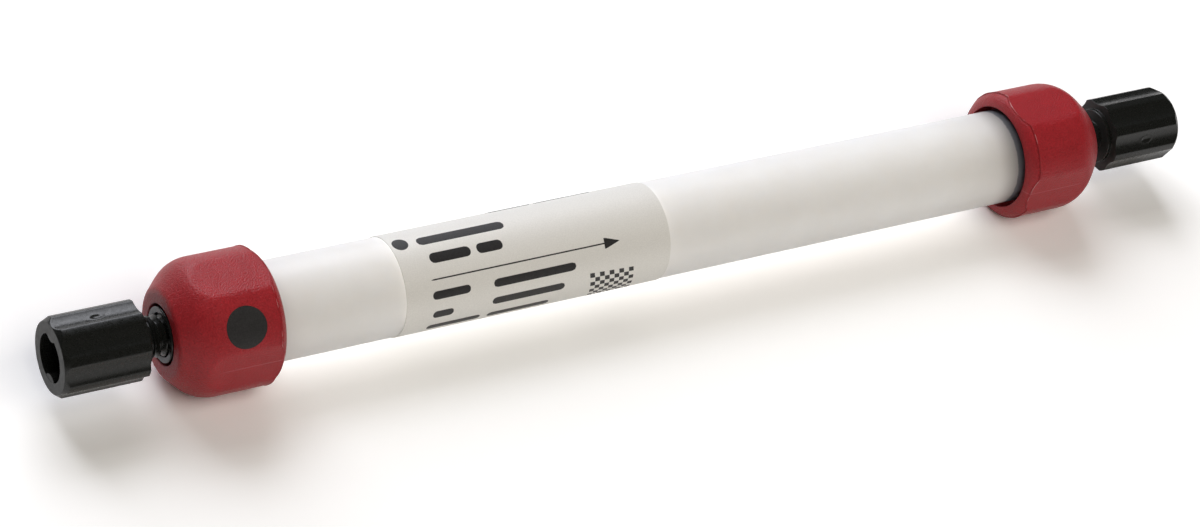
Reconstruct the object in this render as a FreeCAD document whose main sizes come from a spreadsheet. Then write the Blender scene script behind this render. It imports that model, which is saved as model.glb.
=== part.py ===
import FreeCAD, Part
import Sketcher
import math
import os
import re

# Pre-packed chromatography column, 7.7 mm bore and 100 mm bed.
# The axis is X, the flow runs towards +X, and the column rests on the lower
# flats of its two end caps. Each end is drawn at the +X side, with x measured
# from the middle of the bed, and the inlet end is turned half a turn about Z.

os.makedirs("parts", exist_ok=True)
doc = FreeCAD.newDocument("column")

SIZES = [
    # tube and bed
    ("tube_outer_radius", 5.75),
    ("tube_bore_radius", 3.85),
    ("bed_length", 100.0),
    ("tube_past_bed", 6.0),
    # filter discs between the bed and the adaptors
    ("filter_thickness", 1.2),
    # adaptors
    ("spigot_clearance", 0.05),
    ("flange_thickness", 2.0),
    ("adaptor_face_proud", 0.07),
    ("adaptor_nose_chamfer", 0.15),
    ("channel_radius", 0.5),
    ("port_radius", 2.43),
    ("port_depth", 6.8),
    ("port_countersink", 0.25),
    ("port_wall", 0.52),
    # end caps
    ("grip_clearance", 0.05),
    ("cap_wall", 2.08),
    ("cap_flat_depth", 0.49),
    ("cap_mouth_past_bed", 0.2),
    ("cap_length", 12.13),
    ("rim_length", 1.16),
    ("rim_steepest", 74.5),
    ("rim_shallowest", 29.7),
    ("mouth_gap", 0.54),
    ("mouth_depth", 2.4),
    ("mouth_edge", 0.1),
    ("cone_length", 2.9),
    ("cone_drop", 2.8),
    ("shoulder_round", 4.5),
    ("nose_round", 0.6),
    ("nose_hole_gap", 0.29),
    # stop plugs
    ("thread_clearance", 0.05),
    ("plug_tip_radius", 1.5),
    ("plug_tip_length", 0.9),
    ("plug_tip_clearance", 0.2),
    ("neck_step", 0.43),
    ("neck_length", 0.75),
    ("collar_radius", 3.4),
    ("collar_length", 0.55),
    ("knob_standoff", 2.85),
    ("knob_length", 10.0),
    ("knob_radius", 4.55),
    ("knob_taper_drop", 0.45),
    ("knob_taper_length", 0.6),
    ("knob_edge", 0.08),
    ("flute_count", 8),
    ("flute_depth", 0.4),
    ("flute_radius", 3.6),
    ("knob_wall", 1.39),
    ("hollow_depth", 7.6),
    ("lug_radius", 1.4),
    ("lug_centre_in_wall", 0.86),
    ("lug_recess", 0.1),
    ("inlet_plug_turn", 103.3),
    ("outlet_plug_turn", 156.2),
    ("outlet_plug_backed_off", 0.62),
    # wrap-round label
    ("label_thickness", 0.1),
    ("label_length", 34.5),
    ("label_end", -0.5),
    ("label_seam", 12.0),
    ("label_seam_angle", 225.0),
]

DERIVED = []

sheet = doc.addObject("Spreadsheet::Sheet", "Sizes")
for row, (alias, value) in enumerate(SIZES, start=1):
    sheet.set(f"A{row}", alias)
    sheet.set(f"B{row}", str(value))
    sheet.setAlias(f"B{row}", alias)


def derive(alias, formula):
    """Add a size to the sheet that follows from the driving ones."""
    row = len(SIZES) + len(DERIVED) + 2
    DERIVED.append(alias)
    sheet.set(f"A{row}", alias)
    sheet.set(f"B{row}", "=" + formula)
    sheet.setAlias(f"B{row}", alias)


derive("bed_end", "bed_length / 2")
derive("tube_end", "bed_end + tube_past_bed")
derive("spigot_radius", "tube_bore_radius - spigot_clearance")
derive("adaptor_tip", "bed_end + filter_thickness")
derive("flange_end", "tube_end + flange_thickness")
derive("cap_mouth", "bed_end + cap_mouth_past_bed")
derive("cap_body_start", "cap_mouth + rim_length")
derive("cap_nose", "cap_mouth + cap_length")
derive("cap_cone_start", "cap_nose - cone_length")
derive("cone_angle", "atan(cone_drop / cone_length) / 1 deg")
derive("grip_radius", "tube_outer_radius + grip_clearance")
derive("cap_radius", "grip_radius + cap_wall")
derive("cap_apothem", "cap_radius - cap_flat_depth")
derive("rim_round", "rim_length / (sin(rim_steepest) - sin(rim_shallowest))")
derive("mouth_radius", "tube_outer_radius + mouth_gap")
derive("mouth_floor", "cap_mouth + mouth_depth")
derive("adaptor_face", "cap_nose + adaptor_face_proud")
derive("adaptor_nose_radius", "port_radius + port_countersink + port_wall")
derive("nose_hole_radius", "adaptor_nose_radius + nose_hole_gap")
derive("port_floor", "adaptor_face - port_depth")
derive("thread_radius", "port_radius - thread_clearance")
derive("neck_radius", "thread_radius - neck_step")
derive("plug_tip", "port_floor + plug_tip_clearance")
derive("knob_rear", "adaptor_face + knob_standoff")
derive("collar_start", "knob_rear - collar_length")
derive("neck_start", "collar_start - neck_length")
derive("knob_front", "knob_rear + knob_length")
derive("knob_face_radius", "knob_radius - knob_taper_drop")
derive("flute_floor_radius", "knob_radius - flute_depth")
derive("flute_centre", "flute_floor_radius + flute_radius")
derive("hollow_radius", "flute_floor_radius - knob_wall")
derive("lug_centre", "hollow_radius + lug_centre_in_wall")
derive("lug_half_angle", "acos((hollow_radius ^ 2 + lug_centre ^ 2 - lug_radius ^ 2)"
       " / (2 * hollow_radius * lug_centre))")
derive("lug_corner_across", "hollow_radius * cos(lug_half_angle)")
derive("lug_corner_up", "hollow_radius * sin(lug_half_angle)")
derive("label_radius", "tube_outer_radius + label_thickness")
derive("label_start", "label_end - label_length")
doc.recompute()


def size(formula):
    """Value of a formula in the sheet's aliases, as a plain number."""
    value = sheet.evalExpression(formula)
    return float(getattr(value, "Value", value))


def bound(formula):
    """The same formula with every alias pointed at the sheet, for setExpression."""
    aliases = set(DERIVED) | {alias for alias, value in SIZES}
    return re.sub(r"\w+", lambda word: "Sizes." * (word[0] in aliases) + word[0], formula)


def origin_plane(body, role):
    """One of the body's own base planes."""
    return next(f for f in body.Origin.OriginFeatures if f.Role == role)


def new_body(name):
    """A body whose Label names its file."""
    body = doc.addObject("PartDesign::Body", name)
    body.Label = name
    return body


def new_sketch(body, name, role, offset="0"):
    """A sketch on a base plane of the body, moved along the plane's normal."""
    sketch = body.newObject("Sketcher::SketchObject", body.Name + "_" + name)
    sketch.AttachmentSupport = (origin_plane(body, role), "")
    sketch.MapMode = "FlatFace"
    if offset != "0":
        sketch.setExpression("AttachmentOffset.Base.z", bound(offset))
    return sketch


def pin(sketch, geometry, end, across, up):
    """Hold one sketch point at (across, up) from the origin by formulas."""
    for kind, formula in (("DistanceX", across), ("DistanceY", up)):
        index = sketch.addConstraint(
            Sketcher.Constraint(kind, -1, 1, geometry, end, size(formula)))
        sketch.setExpression(f"Constraints[{index}]", bound(formula))


def outline(sketch, points):
    """A closed outline of straight sides through points given as formulas."""
    corners = [FreeCAD.Vector(size(across), size(up), 0) for across, up in points]
    sides = [sketch.addGeometry(Part.LineSegment(here, there), False)
             for here, there in zip(corners, corners[1:] + corners[:1])]
    for side, following in zip(sides, sides[1:] + sides[:1]):
        sketch.addConstraint(Sketcher.Constraint("Coincident", side, 2, following, 1))
    for side, (across, up) in zip(sides, points):
        pin(sketch, side, 1, across, up)


def arc(across, up, radius, start, stop, steps):
    """Formula points along an arc about (across, up), for an outline.

    The angles are in degrees from the outward radius, towards +X."""
    angles = [f"{start} + ({stop} - {start}) * {i} / {steps}" for i in range(steps + 1)]
    return [(f"{across} + {radius} * sin({angle})", f"{up} + {radius} * cos({angle})")
            for angle in angles]


def ring(sketch, radius, across="0", up="0"):
    """A circle of a bound radius about (across, up)."""
    centre = FreeCAD.Vector(size(across), size(up), 0)
    circle = sketch.addGeometry(
        Part.Circle(centre, FreeCAD.Vector(0, 0, 1), size(radius)), False)
    index = sketch.addConstraint(Sketcher.Constraint("Radius", circle, size(radius)))
    sketch.setExpression(f"Constraints[{index}]", bound(radius))
    pin(sketch, circle, 3, across, up)


def square(sketch, apothem):
    """A square about the origin, given half its side."""
    minus = f"-1 * {apothem}"
    outline(sketch, [(minus, minus), (apothem, minus), (apothem, apothem), (minus, apothem)])


def revolve(body, name, points, kind="PartDesign::Revolution"):
    """Turn a half section about the column's axis, or groove with it."""
    sketch = new_sketch(body, name + "_section", "XZ_Plane")
    outline(sketch, points)
    feature = body.newObject(kind, body.Name + "_" + name)
    feature.Profile = sketch
    feature.ReferenceAxis = (sketch, ["H_Axis"])
    feature.Angle = 360.0
    sketch.Visibility = False
    doc.recompute()
    return feature


def cut_along_axis(body, sketch, name, length):
    """Pocket a cross section towards +X, and check that it takes material."""
    before = body.Shape.Volume
    pocket = body.newObject("PartDesign::Pocket", body.Name + "_" + name)
    pocket.Profile = sketch
    pocket.Type = "Length"
    pocket.Length = size(length)
    pocket.setExpression("Length", bound(length))
    pocket.Reversed = True
    sketch.Visibility = False
    doc.recompute()
    if body.Shape.Volume >= before:
        raise RuntimeError(f"{pocket.Name} took nothing away")
    return pocket


def turned(end, about_axis=0.0, along=0.0):
    """Placement of an end piece: a turn about X, a shift outwards, then its end."""
    spin = FreeCAD.Placement(FreeCAD.Vector(along, 0, 0),
                             FreeCAD.Rotation(FreeCAD.Vector(1, 0, 0), about_axis))
    half_turn = FreeCAD.Rotation(FreeCAD.Vector(0, 0, 1), 180 if end == "inlet" else 0)
    return FreeCAD.Placement(FreeCAD.Vector(), half_turn).multiply(spin)


def hollow_outline(sketch):
    """The hollow's cross section: its wall in two arcs and a lug in two more.

    The four corners are where the lugs' circles meet the hollow's circle."""
    half = size("lug_half_angle")
    centre = size("lug_centre")
    lug_half = math.degrees(math.atan2(size("lug_corner_up"), centre - size("lug_corner_across")))
    arcs = (
        (0.0, "hollow_radius", half, 180 - half),
        (-centre, "lug_radius", -lug_half, lug_half),
        (0.0, "hollow_radius", 180 + half, 360 - half),
        (centre, "lug_radius", 180 - lug_half, 180 + lug_half),
    )
    across, up = "lug_corner_across", "lug_corner_up"
    corners = ((across, up), (f"-1 * {across}", up),
               (f"-1 * {across}", f"-1 * {up}"), (across, f"-1 * {up}"))
    drawn = []
    for middle, radius, start, stop in arcs:
        circle = Part.Circle(FreeCAD.Vector(middle, 0, 0), FreeCAD.Vector(0, 0, 1), size(radius))
        drawn.append(sketch.addGeometry(
            Part.ArcOfCircle(circle, math.radians(start), math.radians(stop)), False))
        index = sketch.addConstraint(Sketcher.Constraint("Radius", drawn[-1], size(radius)))
        sketch.setExpression(f"Constraints[{index}]", bound(radius))
    # each corner joins one end of a wall arc to one end of a lug arc
    joints = (((0, 1), (3, 1)), ((0, 2), (1, 2)), ((2, 1), (1, 1)), ((2, 2), (3, 2)))
    for (one, one_end), (two, two_end) in joints:
        sketch.addConstraint(
            Sketcher.Constraint("Coincident", drawn[one], one_end, drawn[two], two_end))
    for (one, one_end), (right, top) in zip((j[0] for j in joints), corners):
        pin(sketch, drawn[one], one_end, right, top)


def make_tube():
    """Plain drawn tube."""
    tube = new_body("column_tube")
    revolve(tube, "wall", [
        ("-1 * tube_end", "tube_bore_radius"),
        ("-1 * tube_end", "tube_outer_radius"),
        ("tube_end", "tube_outer_radius"),
        ("tube_end", "tube_bore_radius"),
    ])
    return tube


def make_bed():
    """The packed bed, which fills the bore between the two filter discs."""
    bed = doc.addObject("Part::Cylinder", "resin_bed")
    bed.setExpression("Radius", bound("spigot_radius"))
    bed.setExpression("Height", bound("bed_length"))
    bed.Placement = FreeCAD.Placement(
        FreeCAD.Vector(-size("bed_end"), 0, 0),
        FreeCAD.Rotation(FreeCAD.Vector(0, 1, 0), 90))
    bed.setExpression("Placement.Base.x", bound("-1 * bed_end"))
    return bed


def make_filter(end):
    """Porous disc that holds the bed back, with the adaptor's tip behind it."""
    disc = doc.addObject("Part::Cylinder", end + "_filter")
    disc.setExpression("Radius", bound("spigot_radius"))
    disc.setExpression("Height", bound("filter_thickness"))
    towards = 90 if end == "outlet" else -90
    disc.Placement = FreeCAD.Placement(
        FreeCAD.Vector(0, 0, 0), FreeCAD.Rotation(FreeCAD.Vector(0, 1, 0), towards))
    sign = "1" if end == "outlet" else "-1"
    disc.setExpression("Placement.Base.x", bound(f"{sign} * bed_end"))
    return disc


def make_adaptor(end):
    """Spigot that backs the filter, flange on the tube's end, and a threaded port."""
    adaptor = new_body(end + "_adaptor")
    revolve(adaptor, "moulding", [
        ("adaptor_tip", "spigot_radius"),
        ("tube_end", "spigot_radius"),
        ("tube_end", "tube_outer_radius"),
        ("flange_end", "tube_outer_radius"),
        ("flange_end", "adaptor_nose_radius"),
        ("adaptor_face - adaptor_nose_chamfer", "adaptor_nose_radius"),
        ("adaptor_face", "adaptor_nose_radius - adaptor_nose_chamfer"),
        ("adaptor_face", "port_radius + port_countersink"),
        ("adaptor_face - port_countersink", "port_radius"),
        ("port_floor", "port_radius"),
        ("port_floor", "channel_radius"),
        ("adaptor_tip", "channel_radius"),
    ])
    adaptor.Placement = turned(end)
    return adaptor


def make_cap(end):
    """Moulded cap: a rounded rim at the mouth, a domed nose and four flats through both."""
    cap = new_body(end + "_cap")
    shoulder = arc("cap_cone_start - shoulder_round * tan(cone_angle / 2)",
                   "cap_radius - shoulder_round", "shoulder_round", "0", "cone_angle", 3)
    nose = arc("cap_nose - nose_round",
               "cap_radius - cone_drop - nose_round * tan(45 - cone_angle / 2)",
               "nose_round", "cone_angle", "90", 2)
    rim = arc("cap_body_start + rim_round * sin(rim_shallowest)",
              "cap_radius - rim_round * cos(rim_shallowest)",
              "rim_round", "-1 * rim_steepest", "-1 * rim_shallowest", 2)
    revolve(cap, "shell", [("cap_mouth", "0")] + rim + shoulder + nose + [("cap_nose", "0")])
    flats_section = new_sketch(cap, "flats_section", "YZ_Plane", "cap_mouth")
    ring(flats_section, "2 * cap_radius")
    square(flats_section, "cap_apothem")
    cut_along_axis(cap, flats_section, "flats", "cap_length")
    revolve(cap, "bore", [
        ("cap_mouth", "0"),
        ("cap_mouth", "mouth_radius + mouth_edge"),
        ("cap_mouth + mouth_edge", "mouth_radius"),
        ("mouth_floor", "mouth_radius"),
        ("mouth_floor", "grip_radius"),
        ("flange_end", "grip_radius"),
        ("flange_end", "nose_hole_radius"),
        ("cap_nose", "nose_hole_radius"),
        ("cap_nose", "0"),
    ], "PartDesign::Groove")
    cap.Placement = turned(end)
    return cap


def make_stop_plug(end):
    """Threaded stop plug with a fluted, hollow finger knob."""
    plug = new_body(end + "_stop_plug")
    revolve(plug, "turned_form", [
        ("plug_tip", "0"),
        ("plug_tip", "plug_tip_radius"),
        ("plug_tip + plug_tip_length", "thread_radius"),
        ("neck_start", "thread_radius"),
        ("neck_start", "neck_radius"),
        ("collar_start", "neck_radius"),
        ("collar_start", "collar_radius"),
        ("knob_rear", "collar_radius"),
        ("knob_rear", "knob_radius"),
        ("knob_front - knob_taper_length", "knob_radius"),
        ("knob_front - knob_edge", "knob_face_radius"),
        ("knob_front", "knob_face_radius - knob_edge"),
        ("knob_front", "0"),
    ])
    flute_section = new_sketch(plug, "flute_section", "YZ_Plane", "knob_rear")
    ring(flute_section, "flute_radius", "flute_centre")
    flute = cut_along_axis(plug, flute_section, "flute", "knob_length")
    flutes = plug.newObject("PartDesign::PolarPattern", plug.Name + "_flutes")
    flutes.Originals = [flute]
    flutes.Axis = (origin_plane(plug, "X_Axis"), [""])
    flutes.Angle = 360.0
    flutes.setExpression("Occurrences", bound("flute_count"))
    plug.Tip = flutes
    doc.recompute()
    mouth_section = new_sketch(plug, "mouth_section", "YZ_Plane", "knob_front - lug_recess")
    ring(mouth_section, "hollow_radius")
    cut_along_axis(plug, mouth_section, "mouth", "lug_recess")
    hollow_section = new_sketch(plug, "hollow_section", "YZ_Plane", "knob_front - hollow_depth")
    hollow_outline(hollow_section)
    cut_along_axis(plug, hollow_section, "hollow", "hollow_depth - lug_recess")
    spin = "inlet_plug_turn" if end == "inlet" else "outlet_plug_turn"
    out = size("outlet_plug_backed_off") if end == "outlet" else 0.0
    plug.Placement = turned(end, size(spin), out)
    return plug


def make_label():
    """Wrap-round label on the tube, with an open seam at the lower back."""
    outer = doc.addObject("Part::Cylinder", "label_outside")
    outer.setExpression("Radius", bound("label_radius"))
    outer.setExpression("Height", bound("label_length"))
    outer.setExpression("Angle", bound("360 - label_seam"))
    inner = doc.addObject("Part::Cylinder", "label_inside")
    inner.setExpression("Radius", bound("tube_outer_radius"))
    inner.setExpression("Height", bound("label_length"))
    label = doc.addObject("Part::Cut", "column_label")
    label.Base = outer
    label.Tool = inner
    seam_edge = size("270 - label_seam_angle + label_seam / 2")
    first_edge = FreeCAD.Rotation(FreeCAD.Vector(0, 0, 1), seam_edge)
    along_axis = FreeCAD.Rotation(FreeCAD.Vector(0, 1, 0), 90)
    label.Placement = FreeCAD.Placement(
        FreeCAD.Vector(size("label_start"), 0, 0), along_axis.multiply(first_edge))
    return label


nodes = [make_tube(), make_bed(), make_label()]
for end in ("inlet", "outlet"):
    nodes += [make_filter(end), make_adaptor(end), make_cap(end), make_stop_plug(end)]
doc.recompute()

for thing in doc.Objects:
    if "Invalid" in thing.State or "Error" in thing.State:
        raise RuntimeError(f"{thing.Name} failed: {thing.State}")
for node in nodes:
    node.Label = node.Name
    if node.Shape.isNull() or not node.Shape.isValid():
        raise RuntimeError(f"{node.Label} has no valid shape")
for node in nodes:
    node.Shape.exportStep(f"parts/{node.Label}.step")
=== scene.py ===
import math
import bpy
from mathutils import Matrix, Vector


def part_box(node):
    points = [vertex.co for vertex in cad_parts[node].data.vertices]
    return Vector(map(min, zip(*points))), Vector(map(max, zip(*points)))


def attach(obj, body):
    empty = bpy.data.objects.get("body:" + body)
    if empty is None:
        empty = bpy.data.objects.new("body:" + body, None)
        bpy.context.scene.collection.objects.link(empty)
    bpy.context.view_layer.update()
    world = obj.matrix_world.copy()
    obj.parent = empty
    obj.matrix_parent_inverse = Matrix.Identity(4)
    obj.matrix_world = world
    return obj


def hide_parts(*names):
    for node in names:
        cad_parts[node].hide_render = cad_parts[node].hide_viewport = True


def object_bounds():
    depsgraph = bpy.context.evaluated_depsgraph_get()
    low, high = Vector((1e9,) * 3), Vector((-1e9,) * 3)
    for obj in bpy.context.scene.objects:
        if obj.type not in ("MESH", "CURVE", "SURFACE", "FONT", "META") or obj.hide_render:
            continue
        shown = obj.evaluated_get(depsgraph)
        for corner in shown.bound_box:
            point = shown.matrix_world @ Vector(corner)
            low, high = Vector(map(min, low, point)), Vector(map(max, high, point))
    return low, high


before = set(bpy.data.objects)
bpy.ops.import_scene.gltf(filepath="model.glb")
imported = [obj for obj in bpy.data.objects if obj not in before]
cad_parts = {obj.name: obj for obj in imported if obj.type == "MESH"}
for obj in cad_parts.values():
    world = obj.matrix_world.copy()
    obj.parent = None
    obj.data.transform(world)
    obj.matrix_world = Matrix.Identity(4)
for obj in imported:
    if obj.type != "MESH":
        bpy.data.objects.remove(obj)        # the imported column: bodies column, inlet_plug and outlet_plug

from types import SimpleNamespace

import bpy
import numpy as np
from bpy.props import FloatProperty, FloatVectorProperty, IntProperty, PointerProperty
from bpy.types import Operator, Panel, PropertyGroup
from mathutils import Matrix, Vector

bl_info = {
    "name": "Chromatography column",
    "version": (1, 0, 0),
    "blender": (4, 5, 0),
    "location": "3D View > Sidebar > Column",
    "description": "Makes the visible surfaces of a pre-packed chromatography column",
    "category": "Add Mesh",
}

# Shapes are worked out in millimetres and go into the meshes in metres. The axis is X, the
# flow runs towards +X, and a turn of 0 degrees faces -Y, to the front, and 90 degrees up.
MM = 0.001
ENDS = ("inlet", "outlet")
CAD_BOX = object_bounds()
PORT_DEPTH = 6.8          # of an adaptor's port, from the adaptor's face inwards
KNOB_STAND_OFF = 2.85     # from an adaptor's face out to the knob of its plug
COLLAR_RADIUS = 3.4       # of a plug's collar
KNOB_WALL = 1.79          # from a knob's outside to its hollow
RIM_BLEND = 0.04          # of a cap's flats into its rim
CAP_COLUMNS = 288         # of points round a cap and its flash
PLUG_COLUMNS = 272        # of points round a plug
SHARP_DEGREES = 38        # edges over this stay crisp


# ---- colours and node helpers

def linear(code):
    """Linear red, green and blue of an sRGB hex value.

    A channel c becomes c / 12.92 up to 0.04045, and ((c + 0.055) / 1.055) to the power 2.4 above.
    """
    channels = [int(code[i:i + 2], 16) / 255 for i in (1, 3, 5)]
    return tuple(c / 12.92 if c <= 0.04045 else ((c + 0.055) / 1.055) ** 2.4 for c in channels)


def add(tree, kind, inputs=None, **settings):
    """A new node with its settings, and its inputs set or linked. Returns the node."""
    node = tree.nodes.new(kind)
    for name, value in settings.items():
        setattr(node, name, value)
    for socket, value in (inputs or {}).items():
        if isinstance(value, bpy.types.NodeSocket):
            tree.links.new(value, node.inputs[socket])
        else:
            node.inputs[socket].default_value = value
    return node


def new_material(name):
    """An empty node material and its tree."""
    material = bpy.data.materials.new(name)
    material.use_nodes = True
    material.node_tree.nodes.clear()
    return material, material.node_tree


def opaque(colour):
    return (*colour, 1.0)


WHITE = opaque((1.0, 1.0, 1.0))


def mapped(tree, value, start=0.0, stop=1.0, low=0.0, high=1.0, smooth=False):
    """The value carried from start..stop to low..high and held there, in a line or an S."""
    return add(tree, "ShaderNodeMapRange", {0: value, 1: start, 2: stop, 3: low, 4: high},
               interpolation_type="SMOOTHSTEP" if smooth else "LINEAR").outputs[0]


def blend(tree, factor, first, second, kind="MIX"):
    """The first colour at a factor of 0 and the second, or what the kind makes of both, at 1."""
    return add(tree, "ShaderNodeMix", {"Factor": factor, 6: first, 7: second},
               data_type="RGBA", blend_type=kind).outputs[2]


def compute(tree, operation, *values):
    return add(tree, "ShaderNodeMath", dict(enumerate(values)), operation=operation).outputs[0]


def noise(tree, place, across, detail, **more):
    """Even noise whose coarsest clouds are so many millimetres across."""
    return add(tree, "ShaderNodeTexNoise", {"Vector": place, "Scale": 1 / (across * MM),
                                            "Detail": detail, **more}).outputs["Fac"]


def relief(tree, height, strength, deep, invert=False):
    """The normal of a surface that rises with the height, by so many millimetres."""
    return add(tree, "ShaderNodeBump", {"Height": height, "Strength": strength,
                                        "Distance": deep * MM}, invert=invert).outputs[0]


def surface(tree, inputs):
    """Ends the tree in a principled shader with these inputs."""
    shader = add(tree, "ShaderNodeBsdfPrincipled", inputs)
    add(tree, "ShaderNodeOutputMaterial", {"Surface": shader.outputs[0]})


# ---- surfaces

def around(along, out, turn):
    """Points about the axis: x = along, y = -out cos(turn), z = out sin(turn), in metres."""
    along, out, turn = np.broadcast_arrays(along, out, turn)
    return np.stack([along, -out * np.cos(turn), out * np.sin(turn)], -1) * MM


def softened(corners, closed=True, steps=7):
    """Outline through corners (along, out, reach), each rounded by a parabola.

    With A and B one reach before and after the corner C, a point of it is
    (1 - t)^2 A + 2 t (1 - t) C + t^2 B. Points that fall together are dropped.
    """
    corners = np.array(corners, float)
    corner, reach = corners[:, :2], corners[:, 2, None, None]
    back, ahead = np.roll(corner, 1, 0) - corner, np.roll(corner, -1, 0) - corner
    back /= np.linalg.norm(back, axis=1, keepdims=True)
    ahead /= np.linalg.norm(ahead, axis=1, keepdims=True)
    t = np.linspace(0, 1, steps)[None, :, None]
    corner, back, ahead = corner[:, None], back[:, None], ahead[:, None]
    points = ((1 - t) ** 2 * (corner + reach * back) + 2 * t * (1 - t) * corner
              + t ** 2 * (corner + reach * ahead)).reshape(-1, 2)
    gap = np.linalg.norm(points - np.roll(points, 1, 0), axis=1)
    kept = gap > 1e-6
    kept[0] |= not closed
    return points[kept]


def divided(outline, step, closed=True):
    """The outline with each side cut into equal lengths no longer than the step at its start."""
    ahead = np.roll(outline, -1, 0) - outline
    count = np.maximum(np.ceil(np.linalg.norm(ahead, axis=1) / step).astype(int), 1)
    if not closed:
        count[-1] = 1
    index = np.repeat(np.arange(len(outline)), count)
    within = np.arange(len(index)) - np.repeat(np.cumsum(count) - count, count)
    return outline[index] + ahead[index] * (within / count[index])[:, None]


def turns(columns):
    """Angles evenly round the axis, as one row."""
    return np.linspace(0, 2 * np.pi, columns, endpoint=False)[None, :]


def lesser(a, b, blend):
    """The smaller of a and b, with a rounded change-over.

    With h = (1/2 + (b - a) / (2 blend)) held within 0 to 1, it is b + (a - b) h - blend h (1 - h).
    """
    h = np.clip(0.5 + 0.5 * (b - a) / blend, 0, 1)
    return b + (a - b) * h - blend * h * (1 - h)


def ramp(value, start, stop):
    """0 up to start, 1 from stop on, and 3 t^2 - 2 t^3 between them."""
    t = np.clip((value - start) / (stop - start), 0, 1)
    return t * t * (3 - 2 * t)


def knit(grid, ring):
    """Points and outward triangles of a grid (rows, columns, 3) whose columns close up.

    The rows close up too if it is a ring. Otherwise the first and last row are poles, one
    point each. The triangles are turned over if the volume that they enclose is negative.
    """
    rows, columns = grid.shape[:2]
    index = np.arange(rows * columns).reshape(rows, columns)
    if ring:
        here, there = index, np.roll(index, -1, 0)
    else:
        index[0], index[-1] = index[0, 0], index[-1, 0]
        here, there = index[:-1], index[1:]
    corners = here, there, np.roll(there, -1, 1), np.roll(here, -1, 1)
    a, b, c, d = (corner.ravel() for corner in corners)
    faces = np.concatenate([np.stack([a, b, c], 1), np.stack([a, c, d], 1)])
    faces = faces[np.all(faces != np.roll(faces, -1, 1), axis=1)]
    used, faces = np.unique(faces, return_inverse=True)
    points, faces = grid.reshape(-1, 3)[used], faces.reshape(-1, 3)
    a, b, c = (points[faces[:, i]] for i in range(3))
    if np.sum(a * np.cross(b, c)) < 0:
        faces = faces[:, ::-1]
    return points, faces


def make_piece(name, shells, material, body, stands_for=()):
    """One object from closed knitted shells, shaded smooth but for its sharp edges."""
    starts = np.cumsum([0] + [len(points) for points, faces in shells[:-1]])
    points = np.concatenate([points for points, faces in shells])
    faces = np.concatenate([faces + start for (_, faces), start in zip(shells, starts)])
    mesh = bpy.data.meshes.new(name)
    mesh.from_pydata(points.tolist(), [], faces.tolist())
    mesh.shade_smooth()
    mesh.set_sharp_from_angle(angle=math.radians(SHARP_DEGREES))
    mesh.materials.append(material)
    piece = bpy.data.objects.new(name, mesh)
    bpy.context.scene.collection.objects.link(piece)
    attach(piece, body)
    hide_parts(*stands_for)
    return piece


def at_end(points, end, turn=0.0, along=0.0):
    """Puts points drawn for the +X side on their end: a turn about X from +Y towards +Z, a
    shift outwards in millimetres and, at the inlet, half a turn about Z."""
    x, y, z = np.moveaxis(points, -1, 0)
    y, z = y * math.cos(turn) - z * math.sin(turn), y * math.sin(turn) + z * math.cos(turn)
    x = x + along * MM
    return np.stack([-x, -y, z] if end == "inlet" else [x, y, z], -1)


# ---- sizes and colours that a user would change

def low(node, axis):
    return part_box(node)[0][axis]


def high(node, axis):
    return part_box(node)[1][axis]


def length(name, description, default):
    return FloatProperty(name=name, description=description, default=default,
                         min=0.0 if default > 0 else -1.0, soft_max=0.2, unit="LENGTH", precision=5)


def colour(name, description, code):
    return FloatVectorProperty(name=name, description=description, default=linear(code),
                               min=0.0, max=1.0, size=3, subtype="COLOR")


class ColumnSizes(PropertyGroup):
    tube_radius: length("Tube radius", "Outer radius of the milky tube", high("column_tube", 2))
    tube_end: length("Tube end", "From the middle of the column to the tube's end", high("column_tube", 0))
    bore_radius: length("Bore radius", "Inner radius of the tube", 0.00385)
    label_start: length("Label start", "Where the label begins along the axis", low("column_label", 0))
    label_end: length("Label end", "Where the label ends along the axis", high("column_label", 0))
    label_radius: length("Label radius", "Outer radius of the label", high("column_label", 2))
    cap_radius: length("Cap radius", "Radius of a cap between its flats", 0.00788)
    cap_flat: length("Cap flat", "From the axis to each flat of a cap", high("outlet_cap", 2))
    cap_mouth: length("Cap mouth", "From the middle of the column to a cap's mouth", low("outlet_cap", 0))
    cap_nose: length("Cap nose", "From the middle of the column to a cap's nose", high("outlet_cap", 0))
    rim_length: length("Rim length", "Length of the rounded rim at a cap's mouth", 0.00116)
    adaptor_face: length("Adaptor face", "From the middle of the column to an adaptor's face",
                         high("outlet_adaptor", 0))
    thread_radius: length("Thread radius", "Outer radius of a stop plug's thread", 0.00238)
    thread_pitch: length("Thread pitch", "From one turn of the thread to the next", 0.000794)
    knob_radius: length("Knob radius", "Radius over the ridges of a stop plug's knob", 0.00455)
    knob_length: length("Knob length", "Length of a stop plug's knob", 0.010)
    flute_depth: length("Flute depth", "Depth of the flutes along a knob", 0.0004)
    flute_count: IntProperty(name="Flutes", description="Flutes round a knob", default=8, min=3, max=16)
    inlet_turn: FloatProperty(name="Inlet plug turn", default=math.radians(103.3), subtype="ANGLE",
                              description="How far the inlet's plug is screwed round")
    outlet_turn: FloatProperty(name="Outlet plug turn", default=math.radians(156.2), subtype="ANGLE",
                               description="How far the outlet's plug is screwed round")
    outlet_backed_off: length("Outlet plug backed off", "How far the outlet's plug stands further out",
                              0.00062)


class ColumnColours(PropertyGroup):
    cap: colour("Cap", "Red of the moulded caps", "#9f242a")
    tube: colour("Tube", "Milky plastic of the tube", "#fbf9f6")
    label: colour("Label", "Silver-grey film of the label", "#e8e6e1")
    ink: colour("Ink", "Print on the label and the cap", "#2b2a2a")
    plug: colour("Plug", "Black plastic of the stop plugs", "#191a18")
    adaptor: colour("Adaptor", "Dark grey plastic of the adaptors", "#242524")
    bed: colour("Bed", "Packed beads in the tube", "#e9e4d8")


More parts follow.
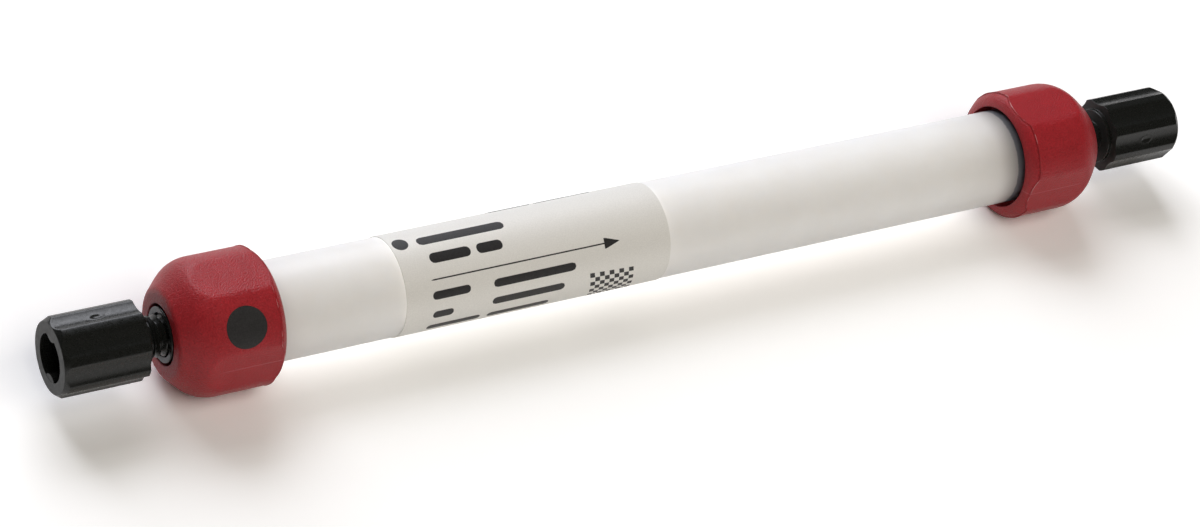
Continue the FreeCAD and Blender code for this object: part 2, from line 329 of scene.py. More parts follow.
class StudioSettings(PropertyGroup):
    key_power: FloatProperty(name="Key power", description="Power of the soft light behind the column",
                             default=4.3, min=0.0, unit="POWER")
    top_power: FloatProperty(name="Top power", description="Power of the panel above the soft light",
                             default=1.5, min=0.0, unit="POWER")
    front_power: FloatProperty(name="Front power", default=5.2, min=0.0, unit="POWER",
                               description="Power of the two panels in front of the column")
    fill: FloatProperty(name="Fill", description="Strength of the even light from all round",
                        default=0.03, min=0.0, subtype="FACTOR")
    distance: FloatProperty(name="Camera distance", description="From the camera to the column",
                            default=0.4241, min=0.05, unit="LENGTH")
    lens: FloatProperty(name="Lens", description="Focal length for a frame 36 mm wide",
                        default=108.5, min=10.0, subtype="DISTANCE_CAMERA")


def millimetres(sizes):
    """The sizes as plain numbers: lengths in millimetres, angles in radians."""
    plain = {name: getattr(sizes, name) for name in sizes.__annotations__}
    whole = ("flute_count", "inlet_turn", "outlet_turn")
    return SimpleNamespace(**{n: v if n in whole else v / MM for n, v in plain.items()})


# ---- materials

def milky_polypropylene(colours, size):
    """Natural polypropylene, extruded: light spreads in the wall, so the tube glows evenly and
    has no hard shade, with a painted tint cooler on top and warmer below. The dark band beside
    the outlet's cap is the adaptor behind the wall, painted onto the tube, with painted shade
    towards the caps. Faint draw lines run along it."""
    material, tree = new_material("extruded milky polypropylene")
    place = add(tree, "ShaderNodeTexCoord").outputs["Object"]
    axes = add(tree, "ShaderNodeSeparateXYZ", {0: place})
    # painted light: a cool tint on top and a warm one underside
    top = size.tube_radius * MM
    height = mapped(tree, axes.outputs["Z"], -top, top)
    tint = blend(tree, height, opaque(linear("#fbf4ee")), opaque(linear("#f4f6fa")))
    body = blend(tree, 0.6, opaque(colours.tube), tint)
    # cloudy patches, 5 mm across
    cloud = noise(tree, place, 5, 3.0)
    cloudy = blend(tree, cloud, body, opaque(linear("#eeecea")))
    # painted shade and a painted view through the wall. At the outlet a warm painted shade of
    # 0.45 t^4, with t from 0, 25 mm out from the middle, to 1 by the cap's mouth, deepens over the
    # last 3 mm and ends in a cool dark band with an uneven edge, the adaptor behind the wall
    # painted onto the tube. At the inlet the painted shade is only 0.13 t^2
    waver = noise(tree, place, 0.5, 2.0)
    shift = compute(tree, "MULTIPLY_ADD", waver, 0.25 * MM, axes.outputs["X"])
    end = size.cap_mouth
    shade = mapped(tree, axes.outputs["X"], (end - 3.7) * MM, (end - 0.4) * MM, high=0.28, smooth=True)
    for side, power, depth in ((1.0, 4.0, 0.45), (-1.0, 2.0, 0.13)):
        t = mapped(tree, axes.outputs["X"], side * 25 * MM, side * (end - 0.2) * MM)
        rise = compute(tree, "POWER", t, power)
        shade = compute(tree, "MULTIPLY_ADD", rise, depth, shade)
    warm = blend(tree, shade, cloudy, opaque(linear("#3a3230")))
    # the cool dark band: the adaptor behind the wall, painted onto the tube's colour
    band = mapped(tree, shift, (end - 0.62) * MM, (end - 0.38) * MM, high=0.82, smooth=True)
    shaded = blend(tree, band, warm, opaque(linear("#4b4f58")))
    # draw lines 0.3 mm apart round the tube, 30 mm long
    stretch = add(tree, "ShaderNodeMapping", {"Vector": place, "Scale": (0.01, 1.0, 1.0)})
    lines = noise(tree, stretch.outputs[0], 0.3, 2.0)
    bump = relief(tree, lines, 0.10, 0.02)
    surface(tree, {
        "Base Color": shaded, "Roughness": 0.38, "IOR": 1.49, "Subsurface Weight": 1.0,
        "Subsurface Radius": (1.0, 0.95, 0.9), "Subsurface Scale": 5.0 * MM, "Normal": bump})
    return material


def silver_film(colours):
    """Matt silver-grey polyester film, coated: an even grey with a soft sheen along the top and
    a fine paper-like tooth."""
    material, tree = new_material("coated silver-grey polyester film")
    place = add(tree, "ShaderNodeTexCoord").outputs["Object"]
    tooth = noise(tree, place, 0.12, 3.0)
    tone = mapped(tree, tooth, 0.3, 0.7, low=0.94, high=1.04)
    grey = blend(tree, 1.0, opaque(colours.label), tone, "MULTIPLY")
    bump = relief(tree, tooth, 0.12, 0.01)
    surface(tree, {"Base Color": grey, "Roughness": 0.42, "Normal": bump})
    return material


def transfer_ink(colours):
    """Resin ribbon ink, thermally transferred: a flat near-black with a faint uneven take."""
    material, tree = new_material("thermally transferred resin ink")
    place = add(tree, "ShaderNodeTexCoord").outputs["Object"]
    take = noise(tree, place, 0.15, 2.0)
    tone = mapped(tree, take, 0.35, 0.75, low=0.9, high=1.5)
    ink = blend(tree, 1.0, opaque(colours.ink), tone, "MULTIPLY")
    surface(tree, {"Base Color": ink, "Roughness": 0.5})
    return material


def eroded_red_polypropylene(colours, size):
    """Red polypropylene, moulded in a spark-eroded tool: an even satin red with a leather-fine
    grain that glitters pink where light grazes it, and a parting line on the front flat painted pale, a
    painted highlight."""
    material, tree = new_material("spark-eroded red polypropylene")
    place = add(tree, "ShaderNodeTexCoord").outputs["Object"]
    # erosion pits, 0.1 mm across and drawn 0.19 mm so that they show
    pits = noise(tree, place, 0.19, 2.0, Roughness=0.55)
    mottle = noise(tree, place, 1.6, 3.0)
    tone = mapped(tree, mottle, 0.3, 0.7, low=0.93, high=1.05)
    grain = mapped(tree, pits, 0.32, 0.68, low=0.82, high=1.18)
    both = compute(tree, "MULTIPLY", tone, grain)
    red = blend(tree, 1.0, opaque(colours.cap), both, "MULTIPLY")
    # parting line: a hair of a line over the body where a plane through the axis cuts the front,
    # 2 degrees up from level, painted pale as a painted highlight
    tilt = add(tree, "ShaderNodeMapping", {"Vector": place, "Rotation": (math.radians(2), 0, 0)})
    off = add(tree, "ShaderNodeSeparateXYZ", {0: tilt.outputs[0]})
    near = compute(tree, "ABSOLUTE", off.outputs["Z"])
    line = mapped(tree, near, 0.02 * MM, 0.07 * MM, low=0.3, high=0.0, smooth=True)
    outwards = compute(tree, "ABSOLUTE", off.outputs["X"])
    over = mapped(tree, outwards, (size.cap_nose - 3.2) * MM, (size.cap_nose - 5.0) * MM)
    seam = compute(tree, "MULTIPLY", line, over)
    skin = blend(tree, seam, red, opaque(linear("#d98a8c")))
    bump = relief(tree, pits, 1.0, 0.09)
    gloss = mapped(tree, pits, 0.35, 0.7, low=0.32, high=0.52)
    surface(tree, {
        "Base Color": skin, "Roughness": gloss, "IOR": 1.49, "Specular IOR Level": 0.4,
        "Normal": bump})
    return material


def polypropylene_flash(colours):
    """Flash squeezed out where the two halves of the cap's tool meet, cut by hand: a hair of
    the same red that turns pale pink in patches, partly its own whitening and partly a painted highlight."""
    material, tree = new_material("scraped polypropylene flash")
    place = add(tree, "ShaderNodeTexCoord").outputs["Object"]
    # pale pink patches: partly the flash's own whitening, partly a painted highlight
    whitening_and_painted_highlight = noise(tree, place, 1.2, 4.0)
    pale = mapped(tree, whitening_and_painted_highlight, 0.48, 0.66, high=0.8)
    tint = blend(tree, pale, opaque(colours.cap), opaque(linear("#e0a0a2")))
    surface(tree, {"Base Color": tint, "Roughness": 0.5})
    return material


def glossy_black_acetal(colours):
    """Black acetal, moulded in a polished tool: deep black flanks with crisp highlights, and
    end faces left duller by the tool's turned faces, and painted greyer, a painted reflection of the bright
    room."""
    material, tree = new_material("moulded glossy black acetal")
    coords = add(tree, "ShaderNodeTexCoord")
    place = coords.outputs["Object"]
    facing = add(tree, "ShaderNodeSeparateXYZ", {0: coords.outputs["Normal"]})
    endwise = compute(tree, "ABSOLUTE", facing.outputs["X"])
    # end faces: rougher for their finish, and painted greyer, a painted reflection of the bright room
    face = mapped(tree, endwise, 0.86, 0.98, smooth=True)
    black = blend(tree, face, opaque(colours.plug), opaque(linear("#2c2d2b")))
    skin = noise(tree, place, 0.5, 3.0)
    sheen = mapped(tree, skin, 0.3, 0.7, low=0.22, high=0.34)
    dull = compute(tree, "MULTIPLY_ADD", face, 0.2, sheen)
    bump = relief(tree, skin, 0.08, 0.02)
    surface(tree, {"Base Color": black, "Roughness": dull, "IOR": 1.48, "Normal": bump})
    return material


def grey_moulding(colours):
    """Dark grey polypropylene, moulded against a polished face: it mirrors what lies round it
    softly, so the ring round a port is pale on the lit side and nearly black by the plug."""
    material, tree = new_material("moulded dark grey polypropylene")
    place = add(tree, "ShaderNodeTexCoord").outputs["Object"]
    cloud = noise(tree, place, 0.4, 3.0)
    tone = mapped(tree, cloud, 0.3, 0.7, low=0.85, high=1.1)
    grey = blend(tree, 1.0, opaque(colours.adaptor), tone, "MULTIPLY")
    gloss = mapped(tree, cloud, 0.3, 0.7, low=0.14, high=0.24)
    surface(tree, {"Base Color": grey, "Roughness": gloss})
    return material


def packed_agarose(colours):
    """Cross-linked agarose beads, packed wet. Beads of 0.09 mm are drawn 0.25 mm across, because
    finer ones wouldn't show: a pale, close grain of round grains."""
    material, tree = new_material("packed agarose beads")
    place = add(tree, "ShaderNodeTexCoord").outputs["Object"]
    beads = add(tree, "ShaderNodeTexVoronoi", {"Vector": place, "Scale": 1 / (0.25 * MM)})
    # painted shade: each bead lighter in its middle and darker in the dips between beads
    tone = mapped(tree, beads.outputs["Distance"], 0.0, 0.7, low=1.05, high=0.7)
    pale = blend(tree, 1.0, opaque(colours.bed), tone, "MULTIPLY")
    bump = relief(tree, beads.outputs["Distance"], 0.6, 0.08, invert=True)
    surface(tree, {"Base Color": pale, "Roughness": 0.35, "Normal": bump})
    return material


def sintered_polyethylene():
    """Polyethylene powder, sintered to a porous disc: chalky white with pores 0.2 mm apart."""
    material, tree = new_material("sintered porous polyethylene")
    place = add(tree, "ShaderNodeTexCoord").outputs["Object"]
    pores = add(tree, "ShaderNodeTexVoronoi", {"Vector": place, "Scale": 1 / (0.2 * MM)})
    # painted shade: darker where the surface dips, in the pores
    chalk = blend(tree, pores.outputs["Distance"], opaque(linear("#efefea")), opaque(linear("#b9b9b2")))
    bump = relief(tree, pores.outputs["Distance"], 0.7, 0.06, invert=True)
    surface(tree, {"Base Color": chalk, "Roughness": 0.8, "Normal": bump})
    return material


# ---- the pieces

def patch(along, half, radius, turn, proud=0.012, columns=5):
    """A thin closed field of ink on a round surface, in rows along the axis.

    Row i stands at along[i] and reaches half[i] either way round, measured on the surface, so
    a point at v from -1 to 1 has the angle turn + v half / radius. Its upper side is proud of
    the radius and its under side a little below it. The first and last row close to points.
    """
    v = np.concatenate([np.linspace(-1, 1, columns), np.linspace(1, -1, columns)])[None, :]
    out = radius + np.where(np.arange(2 * columns) < columns, proud, -0.01)[None, :]
    along, half = np.asarray(along, float)[:, None], np.asarray(half, float)[:, None]
    along = np.concatenate([along[:1], along, along[-1:]])
    half = np.concatenate([0 * half[:1], half, 0 * half[-1:]])
    out = np.where(half > 0, out, radius)
    return knit(around(along, out, turn + v * half / radius), ring=False)


def bar(start, stop, height, radius, degrees):
    """A printed bar with rounded corners: its half height falls by the corner's circle."""
    corner = min(0.45 * height, 0.3 * (stop - start))
    reach = (stop - start) / 2
    t = np.cos(np.linspace(np.pi, 0, 15))
    along = t * (reach - 1e-3)
    past = np.maximum(np.abs(along) - (reach - corner), 0)
    half = height / 2 - corner + np.sqrt(np.maximum(corner ** 2 - past ** 2, 0))
    steps = max(3, int(height / radius * 30))
    return patch((start + stop) / 2 + along, half, radius, math.radians(degrees), columns=steps)


def disc(centre, size, radius, degrees):
    """A printed round spot: its half height is the circle's, sqrt(r^2 - x^2)."""
    along = size * np.cos(np.linspace(np.pi, 0, 33))
    half = np.sqrt(np.maximum(size ** 2 - along ** 2, 1e-6))
    return patch(centre + along, half, radius, math.radians(degrees), columns=17)


def checker(corners, cells, radius):
    """A regular chequered field as small boxes on the surface, one for every other cell.

    A point at (u, v) of the field lies between its four corners (along, degrees): it is
    (1-u)(1-v) A + u(1-v) B + (1-u)v C + uv D.
    """
    i, j = np.nonzero((np.add.outer(np.arange(cells), np.arange(cells)) % 2) == 0)
    du, dv = np.array([0, 1, 1, 0]), np.array([0, 0, 1, 1])
    u = (i[:, None] + du + 0.02 * (1 - 2 * du)) / cells
    v = (j[:, None] + dv + 0.02 * (1 - 2 * dv)) / cells
    a, b, c, d = np.array(corners, float)
    flat = ((1 - u) * (1 - v))[..., None] * a + (u * (1 - v))[..., None] * b \
        + ((1 - u) * v)[..., None] * c + (u * v)[..., None] * d
    turn = np.radians(flat[..., 1])
    both = np.concatenate([around(flat[..., 0], radius + 0.012, turn),
                           around(flat[..., 0], radius - 0.015, turn)], 1)
    box = np.array([[0, 1, 2], [0, 2, 3], [4, 6, 5], [4, 7, 6], [0, 4, 5], [0, 5, 1],
                    [1, 5, 6], [1, 6, 2], [2, 6, 7], [2, 7, 3], [3, 7, 4], [3, 4, 0]])
    a, b, c = (both[0][box[:, k]] for k in range(3))
    if np.sum(a * np.cross(b, c)) < 0:
        box = box[:, ::-1]
    faces = (box[None] + 8 * np.arange(len(both))[:, None, None]).reshape(-1, 3)
    return both.reshape(-1, 3), faces


def cap_outline(size):
    """Half section of a cap: rounded rim, body, domed shoulder, blunt nose, and the bore."""
    body = size.cap_mouth + size.rim_length
    grip, mouth, hole = size.tube_radius + 0.05, size.tube_radius + 0.54, 3.49
    outline = softened([
        (size.cap_mouth, mouth, 0.04),
        (size.cap_mouth, mouth + 0.11, 0.02),
        (size.cap_mouth + 0.27, size.cap_radius - 0.5, 0.96),
        (body, size.cap_radius - 0.04, 0.0),
        (body, size.cap_radius, 0.02),
        (size.cap_nose - 2.9, size.cap_radius, 1.82),
        (size.cap_nose, size.cap_radius - 2.8, 0.5),
        (size.cap_nose, hole, 0.16),
        (size.tube_end + 2.0, hole, 0.1),
        (size.tube_end + 2.0, grip, 0.1),
        (size.cap_mouth + 2.4, grip, 0.1),
        (size.cap_mouth + 2.4, mouth, 0.15),
    ])
    rim = (outline[:, 0] < body + 0.1) & (outline[:, 1] > mouth)
    fine = (outline[:, 1] > size.cap_flat - 0.1) | (outline[:, 0] > size.cap_nose - 3.5)
    rim_step, fine_step, hidden_step = 0.05, 0.15, 0.7
    return divided(outline, np.where(rim, rim_step, np.where(fine, fine_step, hidden_step)))


def cap_surface(size, end):
    """A cap: the outline turned about the axis and cut by four flats.

    The radius is the lesser of the outline's and flat / max(|cos|, |sin|) of the turn, blended
    over 0.04 mm where the flats cut the rim and over 0.14 mm along the body. A groove, deep d
    = 0.09 exp(-((x - e + 0.07) / 0.06)^2) with e the place of the flash, ends the rim.
    """
    along, out = (cap_outline(size)[:, i, None] for i in (0, 1))
    turn = turns(CAP_COLUMNS)
    flat = size.cap_flat / np.maximum(np.abs(np.cos(turn)), np.abs(np.sin(turn)))
    body = size.cap_mouth + size.rim_length
    radius = lesser(out, flat, RIM_BLEND + 0.1 * ramp(along, body, body + 1.0))
    groove = 0.09 * np.exp(-((along - rim_end(size, turn)[0] + 0.07) / 0.06) ** 2)
    radius = radius - groove * (out > size.cap_radius - 1.0)
    return knit(at_end(around(along, radius, turn), end), ring=True)


def rim_end(size, turn):
    """Where a cap's rim meets its body and flats: at each turn, the place along the axis where
    the rim's outline comes up to the lesser of the cap's radius and the flats', and that radius."""
    outline = cap_outline(size)
    body = size.cap_mouth + size.rim_length
    rim = outline[(outline[:, 0] < body - 1e-6) & (outline[:, 1] > size.tube_radius + 0.7)]
    flat = size.cap_flat / np.maximum(np.abs(np.cos(turn)), np.abs(np.sin(turn)))
    radius = lesser(np.full_like(flat, size.cap_radius), flat, RIM_BLEND)
    return np.interp(radius, rim[:, 1], rim[:, 0], right=body), radius


def flash_line(size, end):
    """The hair of flash where a cap's rim meets its body: a thin uneven ring, 0.04 mm in
    radius, along the rim's end."""
    turn = turns(CAP_COLUMNS)
    along, radius = rim_end(size, turn)
    along = along + 0.02
    hair = 0.04 * (1 + 0.3 * np.sin(7 * turn + 1) + 0.3 * np.sin(23 * turn))
    round_it = np.linspace(0, 2 * np.pi, 8, endpoint=False)[:, None]
    out = radius + 0.02 + hair * np.sin(round_it)
    return knit(at_end(around(along + hair * np.cos(round_it), out, turn), end), ring=True)


def plug_outline(size):
    """Half section of a stop plug: lead-in, thread, neck, collar, knob and the knob's hollow."""
    tip = size.adaptor_face - PORT_DEPTH + 0.2
    rear = size.adaptor_face + KNOB_STAND_OFF
    front = rear + size.knob_length
    neck, hollow = size.thread_radius - 0.43, size.knob_radius - KNOB_WALL
    outline = softened([
        (tip, 0.0, 0.0),
        (tip, 1.5, 0.1),
        (tip + 0.9, size.thread_radius, 0.1),
        (rear - 1.3, size.thread_radius, 0.1),
        (rear - 1.3, neck, 0.1),
        (rear - 0.55, neck, 0.12),
        (rear - 0.55, COLLAR_RADIUS, 0.14),
        (rear, COLLAR_RADIUS, 0.1),
        (rear, size.knob_radius, 0.06),
        (front - 0.6, size.knob_radius, 0.06),
        (front, size.knob_radius - 0.45, 0.05),
        (front, hollow, 0.03),
        (front - 0.08, hollow, 0.0),
        (front - 7.6, hollow, 0.2),
        (front - 7.6, 0.0, 0.0),
    ], closed=False)
    along = outline[:, 0]
    thread_step, collar_step, knob_step = 0.09, 0.15, 0.14
    behind_knob = np.where(along < rear - 1.2, thread_step, collar_step)
    return divided(outline, np.where(along < rear + 0.01, behind_knob, knob_step), closed=False)


def plug_surface(size, end):
    """A stop plug: the outline turned about the axis, then shaped by four formulas.

    Flutes: the radius of a knob is the lesser of the outline's and, at an angle d from a
    flute's middle, c cos d - sqrt(3.6^2 - c^2 sin^2 d), the near side of a circle of 3.6 mm
    whose centre stands c from the axis. Lugs in the hollow: the same with 1.4 mm circles. Thread:
    a 60 degree wave of the phase along / pitch + turn / 2 pi. Gate mark: a shallow pit with a
    raised rim in the middle of one flute.
    """
    along, out = (plug_outline(size)[:, i, None] for i in (0, 1))
    turn = turns(PLUG_COLUMNS)
    rear = size.adaptor_face + KNOB_STAND_OFF
    front = rear + size.knob_length
    order = np.arange(len(along))[:, None]
    past_face = order >= np.argmax(along[:, 0] > front - 1e-6)
    outside = ~past_face | (out > size.knob_radius - 1.0)

    def circle(copies, centre, radius, first=0.0):
        """Distance to the near side of circles spread evenly round the axis."""
        spread = 2 * np.pi / copies
        d = (turn - first + spread / 2) % spread - spread / 2
        under = radius ** 2 - (centre * np.sin(d)) ** 2
        return np.where(under > 0, centre * np.cos(d) - np.sqrt(np.maximum(under, 0)), 99.0)

    flute_radius, lug_radius, thread_depth = 3.6, 1.4, 0.45
    flute_centre = size.knob_radius - size.flute_depth + flute_radius
    flute = circle(size.flute_count, flute_centre, flute_radius)
    limit = lesser(np.full_like(flute, size.knob_radius), flute, 0.05)
    collar, edge = COLLAR_RADIUS, 0.06
    side = np.minimum(lesser(out, flute, 0.05), limit)
    corner = limit - (size.knob_radius - out)
    face = collar + (out - collar) * (limit - edge - collar) / (size.knob_radius - edge - collar)
    knob = np.where(along > rear + edge, side, np.where(out > size.knob_radius - edge, corner, face))
    radius = np.where(outside & (along >= rear - 1e-6) & (out > collar + 1e-6), knob, out)

    # hollow, with its lugs just let in from the front, 3 degrees off the flutes' middles
    wall = size.knob_radius - KNOB_WALL
    lug = np.minimum(circle(2, wall + 0.75, lug_radius, math.radians(-3)), wall)
    inward = ramp(front - 0.04 - along, 0.0, 0.03) * (past_face & (out <= wall + 1e-6))
    radius = radius * (1 + inward * (lug / wall - 1))

    # thread, fading out over the last third of a turn before the neck
    phase = (along / size.thread_pitch + turn / (2 * np.pi)) % 1.0
    groove = np.clip(1.25 * np.abs(2 * phase - 1) - 0.125, 0, 1)
    threaded = (out > size.thread_radius - 0.12) & (along < rear - 1.3 - 0.02)
    fade = 1 - ramp(along, rear - 1.5, rear - 1.32)
    radius = radius - thread_depth * groove * threaded * fade

    # gate mark
    across = (turn - np.pi) * (size.knob_radius - size.flute_depth)
    q = np.hypot((along + 0.2 - (rear + front) / 2) / 0.75, across / 0.42)
    mark = 0.03 * np.exp(-((q - 1) / 0.25) ** 2) - 0.1 * np.exp(-(q / 0.7) ** 4)
    radius = radius + mark * (outside & (along > rear + 1) & (along < front - 1))

    spin = size.inlet_turn if end == "inlet" else size.outlet_turn
    shift = size.outlet_backed_off if end == "outlet" else 0.0
    return knit(at_end(around(along, radius, turn), end, spin, shift), ring=False)


class COLUMN_OT_tube(Operator):
    """Make the milky tube"""
    bl_idname = "column.tube"
    bl_label = "Tube"

    def execute(self, context):
        size = millimetres(context.scene.column_sizes)
        inside, outside, end = size.bore_radius, size.tube_radius, size.tube_end
        outline = divided(softened([(-end, inside, 0.15), (-end, outside, 0.25),
                                    (end, outside, 0.25), (end, inside, 0.15)]), 2.0)
        shell = knit(around(outline[:, 0, None], outline[:, 1, None], turns(192)), ring=True)
        make_piece("milky_tube", [shell], milky_polypropylene(context.scene.column_colours, size),
                   "column", ["column_tube"])
        return {"FINISHED"}


class COLUMN_OT_label(Operator):
    """Make the wrap-round label and its generic print"""
    bl_idname = "column.label"
    bl_label = "Label"

    def execute(self, context):
        size = millimetres(context.scene.column_sizes)
        colours = context.scene.column_colours
        # a thin section along the label, carried round from one edge of the seam to the other
        start, stop, inside, outside = size.label_start, size.label_end, size.tube_radius, size.label_radius
        section = divided(softened([(start, inside, 0.02), (start, outside, 0.04),
                                    (stop, outside, 0.04), (stop, inside, 0.02)]), 1.0)
        turn = np.radians(np.linspace(-129, 219, 233))
        turn = np.concatenate([turn[:1], turn, turn[-1:]])[:, None]
        grid = around(section[None, :, 0], section[None, :, 1], turn)
        grid[[0, -1]] = grid[[0, -1]].mean(1, keepdims=True)
        make_piece("label_film", [knit(grid, ring=False)], silver_film(colours), "column",
                   ["column_label"])
        r = size.label_radius
        fields = [
            # heading, second heading
            disc(-33.7, 0.95, r, 97), bar(-31.7, -20.6, 1.25, r, 95), bar(-31.2, -26.0, 1.25, r, 70),
            bar(-25.2, -21.9, 1.25, r, 70),
            # flow arrow
            bar(-31.7, -9.0, 0.16, r, 46),
            patch([-9.24, -9.0, -7.25], [0.62, 0.6, 0.02], r, math.radians(46)),
            # three rows of a word and a number
            bar(-31.7, -26.9, 1.0, r, 28), bar(-23.9, -13.2, 1.0, r, 27.5),
            bar(-31.5, -28.9, 1.0, r, 3), bar(-23.9, -14.5, 1.0, r, 4.5),
            bar(-31.7, -24.9, 1.0, r, -20), bar(-23.9, -15.9, 1.0, r, -21),
            # fine print at the back
            bar(-20.4, -15.0, 0.5, r, 134), bar(-14.4, -7.0, 0.5, r, 134), bar(-20.4, -10.2, 0.5, r, 141),
            checker([(-11.3, 14), (-5.4, 11), (-9.9, -47), (-4.3, -45)], 9, r),
        ]
        make_piece("label_print", fields, transfer_ink(colours), "column")
        # light comes through the tube and its film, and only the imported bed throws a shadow
        for name in ("milky_tube", "label_film", "label_print"):
            bpy.data.objects[name].visible_shadow = False
        return {"FINISHED"}


class COLUMN_OT_caps(Operator):
    """Make the two red end caps and the plain spot on the inlet's"""
    bl_idname = "column.caps"
    bl_label = "End caps"

    def execute(self, context):
        size = millimetres(context.scene.column_sizes)
        colours = context.scene.column_colours
        red, flash = eroded_red_polypropylene(colours, size), polypropylene_flash(colours)
        for end in ENDS:
            make_piece(end + "_red_cap", [cap_surface(size, end)], red, "column",
                       [end + "_cap"])
            make_piece(end + "_flash_line", [flash_line(size, end)], flash, "column")
        make_piece("cap_spot", [disc(-55.4, 2.4, size.cap_radius, 41)], transfer_ink(colours), "column")
        return {"FINISHED"}


class COLUMN_OT_adaptors(Operator):
    """Make the two grey adaptors with their ports"""
    bl_idname = "column.adaptors"
    bl_label = "Adaptors"

    def execute(self, context):
        size = millimetres(context.scene.column_sizes)
        grey = grey_moulding(context.scene.column_colours)
        port, spigot, face = 2.43, size.bore_radius - 0.05, size.adaptor_face
        tip = size.tube_end - 4.8
        outline = divided(softened([
            (tip, 0.5, 0.05), (tip, spigot, 0.15), (size.tube_end, spigot, 0.05),
            (size.tube_end, size.tube_radius, 0.1), (size.tube_end + 2, size.tube_radius, 0.2),
            (size.tube_end + 2, 3.2, 0.1), (face, 3.2, 0.15), (face, port + 0.12, 0.12),
            (face - 0.25, port, 0.1), (face - PORT_DEPTH, port, 0.1), (face - PORT_DEPTH, 0.5, 0.05)]), 0.5)
        for end in ENDS:
            grid = at_end(around(outline[:, 0, None], outline[:, 1, None], turns(144)), end)
            make_piece(end + "_grey_adaptor", [knit(grid, ring=True)], grey, "column",
                       [end + "_adaptor"])
        return {"FINISHED"}


class COLUMN_OT_stop_plugs(Operator):
    """Make the two black stop plugs with their fluted knobs"""
    bl_idname = "column.stop_plugs"
    bl_label = "Stop plugs"

    def execute(self, context):
        size = millimetres(context.scene.column_sizes)
        black = glossy_black_acetal(context.scene.column_colours)
        for end in ENDS:
            make_piece(end + "_black_plug", [plug_surface(size, end)], black, end + "_plug",
                       [end + "_stop_plug"])
        return {"FINISHED"}


class COLUMN_OT_packing(Operator):
    """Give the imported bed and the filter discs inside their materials"""
    bl_idname = "column.packing"
    bl_label = "Bed and filters"

    def execute(self, context):
        disc_material = sintered_polyethylene()
        finishes = {"resin_bed": packed_agarose(context.scene.column_colours),
                    "inlet_filter": disc_material, "outlet_filter": disc_material}
        for node, material in finishes.items():
            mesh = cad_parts[node].data
            mesh.materials.clear()
            mesh.materials.append(material)
        return {"FINISHED"}


def towards(azimuth, elevation):
    """Direction from the column: azimuth 0 is the front, -Y, and 90 is +X, in degrees."""
    a, e = math.radians(azimuth), math.radians(elevation)
    return Vector((math.sin(a) * math.cos(e), -math.cos(a) * math.cos(e), math.sin(e)))


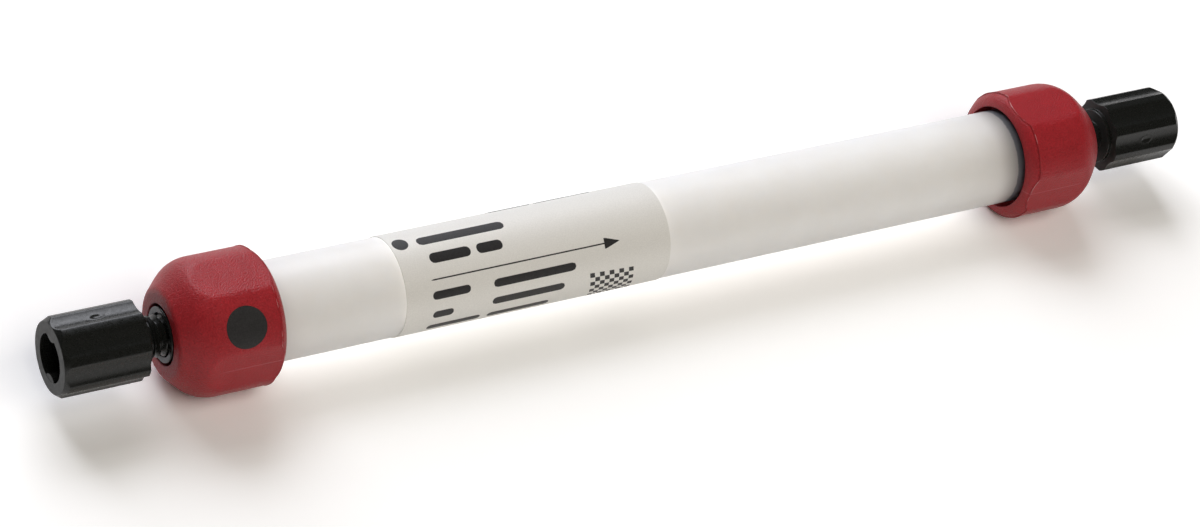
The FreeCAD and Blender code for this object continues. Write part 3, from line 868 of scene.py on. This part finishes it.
class COLUMN_OT_studio(Operator):
    """Make the floor, the soft light and the camera"""
    bl_idname = "column.studio"
    bl_label = "Studio"

    def execute(self, context):
        scene, studio = context.scene, context.scene.column_studio
        scene.view_settings.view_transform = "Standard"

        # floor: a white board that takes the shadows, and fades to even white 0.3 m away. Its
        # tone is over 1 for the camera alone, so it photographs white and lights nothing more
        seen_tone, lit_tone = 1.17, 0.9
        material, tree = new_material("white painted board")
        path = add(tree, "ShaderNodeLightPath")
        tone = mapped(tree, path.outputs["Is Camera Ray"], low=lit_tone, high=seen_tone)
        board = add(tree, "ShaderNodeBsdfDiffuse", {"Color": tone})
        place = add(tree, "ShaderNodeTexCoord").outputs["Object"]
        reach = add(tree, "ShaderNodeVectorMath", {0: place}, operation="LENGTH")
        fade = mapped(tree, reach.outputs["Value"], 0.11, 0.3, smooth=True)
        white = add(tree, "ShaderNodeEmission", {"Color": WHITE, "Strength": 1.0})
        seen = compute(tree, "MULTIPLY", path.outputs["Is Camera Ray"], fade)
        mix = add(tree, "ShaderNodeMixShader", {0: seen, 1: board.outputs[0], 2: white.outputs[0]})
        add(tree, "ShaderNodeOutputMaterial", {"Surface": mix.outputs[0]})
        mesh = bpy.data.meshes.new("floor")
        side, ground = 3.0, CAD_BOX[0].z - 0.00002
        corners = [(-side, -side), (side, -side), (side, side), (-side, side)]
        mesh.from_pydata([(x, y, ground) for x, y in corners], [], [(0, 1, 2, 3)])
        mesh.materials.append(material)
        floor = bpy.data.objects.new("floor", mesh)
        scene.collection.objects.link(floor)

        # even light from all round
        world = bpy.data.worlds.new("soft room")
        world.use_nodes = True
        tree = world.node_tree
        tree.nodes.clear()
        path = add(tree, "ShaderNodeLightPath")
        dim = add(tree, "ShaderNodeBackground", {"Color": WHITE, "Strength": studio.fill})
        bright = add(tree, "ShaderNodeBackground", {"Color": WHITE, "Strength": 1.0})
        mix = add(tree, "ShaderNodeMixShader", {0: path.outputs["Is Camera Ray"], 1: dim.outputs[0],
                                                2: bright.outputs[0]})
        add(tree, "ShaderNodeOutputWorld", {"Surface": mix.outputs[0]})
        scene.world = world

        # a soft box and a panel behind the column throw its shadow to the front, and two panels
        # in front share the power of the fill
        low_share = 0.1
        for name, power, shade, azimuth, elevation, distance, width, height in (
                ("soft box", studio.key_power, "#f5f7ff", 180, 37, 0.75, 0.6, 0.56),
                ("overhead panel", studio.top_power, "#ffffff", 180, 54, 0.75, 0.6, 0.4),
                ("low front panel", studio.front_power * low_share, "#fff9ef", -15, 14, 0.9, 1.2, 0.6),
                ("front panel", studio.front_power * (1 - low_share), "#fff9ef", 12, 52, 0.9, 1.0, 0.6)):
            lamp = bpy.data.lights.new(name, "AREA")
            lamp.shape, lamp.size, lamp.size_y, lamp.energy = "RECTANGLE", width, height, power
            lamp.color = linear(shade)
            box = bpy.data.objects.new(name, lamp)
            box.location = towards(azimuth, elevation) * distance
            box.rotation_euler = (-box.location).to_track_quat("-Z", "Y").to_euler()
            box.visible_glossy = name == "soft box"
            scene.collection.objects.link(box)

        # camera of the photograph: 40 degrees to the left of front, 43 up, rolled 17
        back, roll = towards(-40.106, 42.558), math.radians(17.422)
        right = (-back).cross(Vector((0, 0, 1))).normalized()
        above = right.cross(-back)
        right, above = (right * math.cos(roll) + above * math.sin(roll),
                        above * math.cos(roll) - right * math.sin(roll))
        camera = bpy.data.cameras.new("camera")
        camera.lens, camera.sensor_width, camera.clip_start = studio.lens, 36.0, 0.01
        view = bpy.data.objects.new("camera", camera)
        view.matrix_world = Matrix((right, above, back)).transposed().to_4x4()
        view.location = Vector((-5.54, 0.0, -4.02)) * MM + back * studio.distance
        scene.collection.objects.link(view)
        scene.camera = view
        return {"FINISHED"}


OPERATORS = (COLUMN_OT_tube, COLUMN_OT_label, COLUMN_OT_caps, COLUMN_OT_adaptors, COLUMN_OT_stop_plugs,
             COLUMN_OT_packing, COLUMN_OT_studio)


class COLUMN_PT_sidebar(Panel):
    """Lists the column's settings and the buttons that make its pieces"""
    bl_label = "Chromatography column"
    bl_idname = "COLUMN_PT_sidebar"
    bl_space_type = "VIEW_3D"
    bl_region_type = "UI"
    bl_category = "Column"

    def draw(self, context):
        scene = context.scene
        for group in (scene.column_sizes, scene.column_colours, scene.column_studio):
            box = self.layout.box()
            for name in group.__annotations__:
                box.prop(group, name)
        for operator in OPERATORS:
            self.layout.operator(operator.bl_idname)


CLASSES = (ColumnSizes, ColumnColours, StudioSettings, *OPERATORS, COLUMN_PT_sidebar)


def register():
    for cls in CLASSES:
        bpy.utils.register_class(cls)
    bpy.types.Scene.column_sizes = PointerProperty(type=ColumnSizes)
    bpy.types.Scene.column_colours = PointerProperty(type=ColumnColours)
    bpy.types.Scene.column_studio = PointerProperty(type=StudioSettings)


def unregister():
    del bpy.types.Scene.column_sizes, bpy.types.Scene.column_colours, bpy.types.Scene.column_studio
    for cls in reversed(CLASSES):
        bpy.utils.unregister_class(cls)


def main():
    """Makes every piece and the studio."""
    register()
    for operator in OPERATORS:
        group, name = operator.bl_idname.split(".")
        getattr(getattr(bpy.ops, group), name)()


if __name__ == "__main__":
    main()
